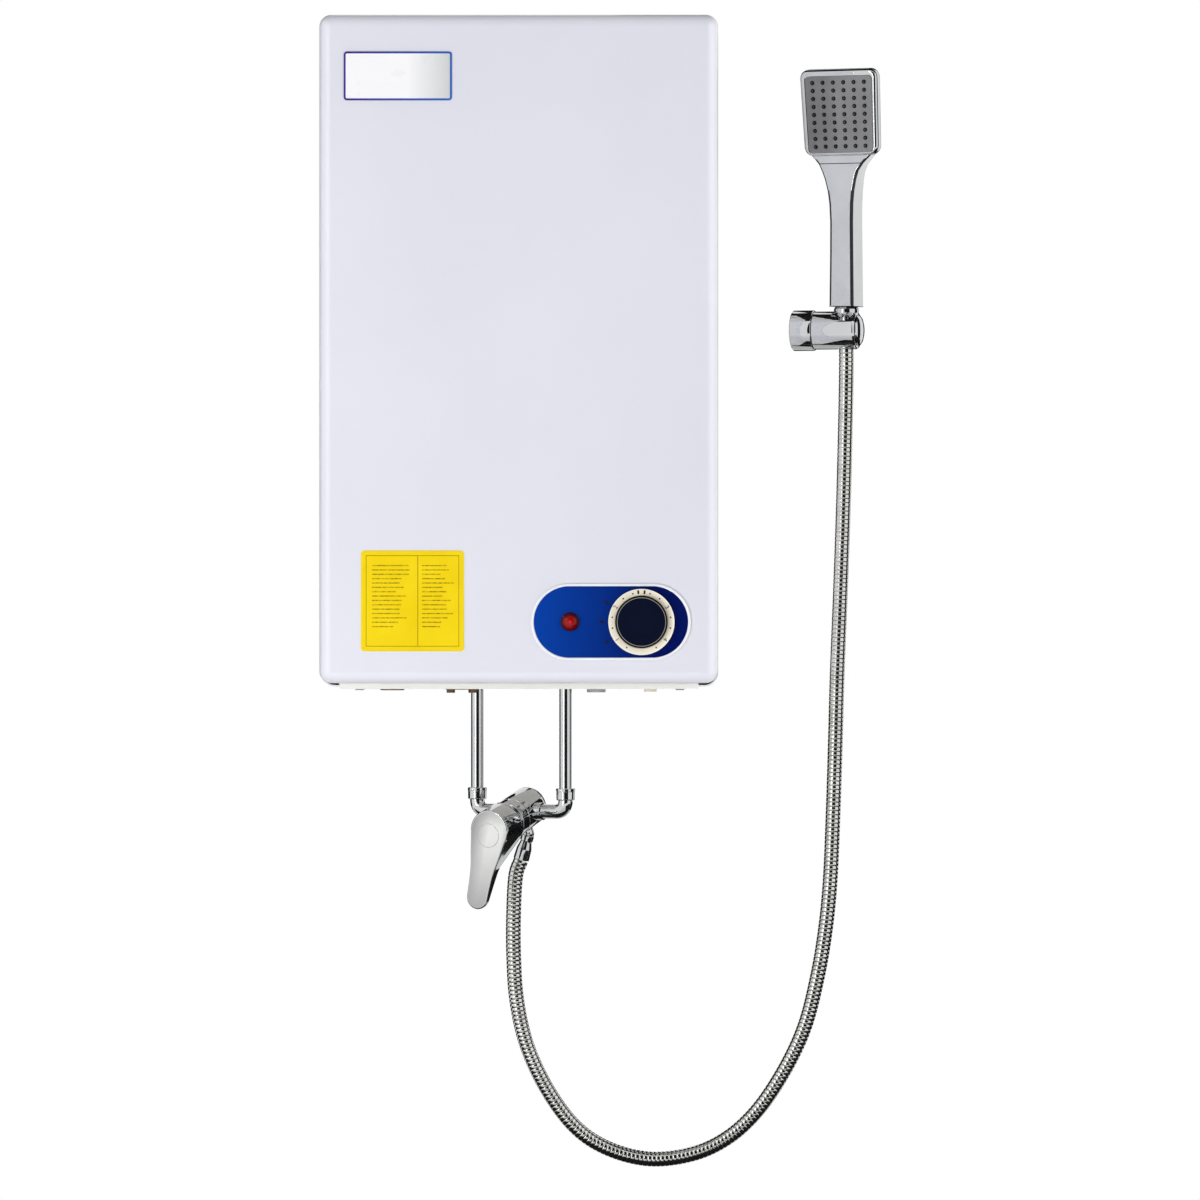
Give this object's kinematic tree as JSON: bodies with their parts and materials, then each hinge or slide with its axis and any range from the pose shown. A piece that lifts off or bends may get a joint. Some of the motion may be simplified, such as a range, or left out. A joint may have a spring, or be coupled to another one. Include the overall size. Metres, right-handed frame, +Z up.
{
  "type": "electric storage water heater",
  "caption": "Wall-hung rectangular storage water heater with dial panel, outlet pipes to a single-lever shower mixer, hanging hose, wall holder and square hand shower.",
  "frame": {"origin": "middle of the four wall bolt holes, on the wall plane behind the heater's casing", "axes": "+Z up, +Y into the wall, +X to the right seen from the room; the front faces -Y"},
  "size_m": [0.5422, 0.2423, 1.1091],
  "materials": {
    "casing": "satin",
    "casing_rear": "satin",
    "galvanised": "matte",
    "badge": "gloss",
    "card": "satin",
    "tank_steel": "satin",
    "foam": "matte",
    "copper": "satin",
    "brass": "satin",
    "rubber": "matte",
    "magnesium": "matte",
    "pale_plastic": "satin",
    "black_plastic": "satin",
    "wire": "satin",
    "grey_plastic": "satin",
    "panel_rim": "gloss",
    "panel_blue": "gloss",
    "lamp_red": "gloss",
    "dial_cream": "satin",
    "dial_dark": "satin",
    "steel": "satin",
    "chrome": "polished",
    "hose_steel": "polished"
  },
  "bodies": {
    "heater": {"front_cover": "casing", "rear_casing": "casing_rear", "bottom_plate": "casing_rear", "wall_rails": "galvanised", "casing_screws": "galvanised", "badge_plate": "badge", "instruction_card": "card", "tank_left": "tank_steel", "tank_right": "tank_steel", "link_tubes": "tank_steel", "foam_rear": "foam", "foam_front": "foam", "element_rod": "copper", "cold_branch": "copper", "hot_tube": "copper", "sensor_bulb": "copper", "earth_terminal": "copper", "element_flange": "brass", "cold_inlet": "brass", "flange_gasket": "rubber", "anode_rod": "magnesium", "thermostat": "pale_plastic", "terminal_block": "pale_plastic", "cartridge": "pale_plastic", "cutout": "black_plastic", "lamp_body": "black_plastic", "wire_harness": "wire", "cable_gland": "grey_plastic", "panel_rim": "panel_rim", "panel_face": "panel_blue", "lamp_lens": "lamp_red", "grub_screw": "steel", "cold_pipe": "chrome", "hot_pipe": "chrome", "pipe_nuts": "chrome", "inlet_elbows": "chrome", "mixer_body": "chrome", "rear_cap": "chrome", "bonnet": "chrome", "hose_nut": "chrome", "holder_foot": "chrome", "base_barrel": "chrome", "hose_lower": "hose_steel"},
    "dial": {"dial_ring": "dial_cream", "dial_cap": "dial_dark", "dial_shaft": "steel"},
    "reset": {"reset_button": "pale_plastic"},
    "lever_swivel": {"cartridge_carrier": "pale_plastic", "stem_pin": "steel"},
    "lever": {"lever_stem": "brass", "lever_handle": "chrome", "lever_cap": "chrome", "lever_screw": "steel"},
    "holder": {"swivel_barrel": "chrome", "holder_cap": "chrome"},
    "hose_end": {"cone_nut": "chrome", "hose_upper": "hose_steel"},
    "handset": {"handset_shell": "chrome", "face_plate": "grey_plastic", "spray_nozzles": "rubber"}
  },
  "joints": [
    {"name": "dial_turn", "type": "hinge", "parent": "heater", "child": "dial", "pos_m": [0.117, -0.225, -0.259], "axis": [0, 1, 0], "range_deg": [0, 270]},
    {"name": "reset_press", "type": "slide", "parent": "heater", "child": "reset", "axis": [0, 0, 1], "range_m": [0, 0.002], "stiffness_N_per_m": 900, "springref_m": -0.001},
    {"name": "lever_turn", "type": "hinge", "parent": "heater", "child": "lever_swivel", "pos_m": [-0.01592, -0.139, -0.45431], "axis": [-0.484, -0.8055, -0.342], "range_deg": [-30, 60]},
    {"name": "lever_lift", "type": "hinge", "parent": "lever_swivel", "child": "lever", "pos_m": [-0.01592, -0.139, -0.45431], "axis": [-0.8736, 0.4216, 0.2432], "range_deg": [0, 22]},
    {"name": "holder_tilt", "type": "hinge", "parent": "heater", "child": "holder", "pos_m": [0.317, -0.06, 0.024], "axis": [0.9659, -0.2588, 0], "range_deg": [-5, 25], "deforming": ["hose_lower"]},
    {"name": "handset_lift", "type": "slide", "parent": "holder", "child": "hose_end", "axis": [0, 0, 1], "range_m": [0, 0.045], "deforming": ["hose_upper"]},
    {"name": "handset_spin", "type": "hinge", "parent": "hose_end", "child": "handset", "pos_m": [0.317, -0.06, 0.047], "axis": [0, 0, 1], "range_deg": [-90, 90]}
  ]
}
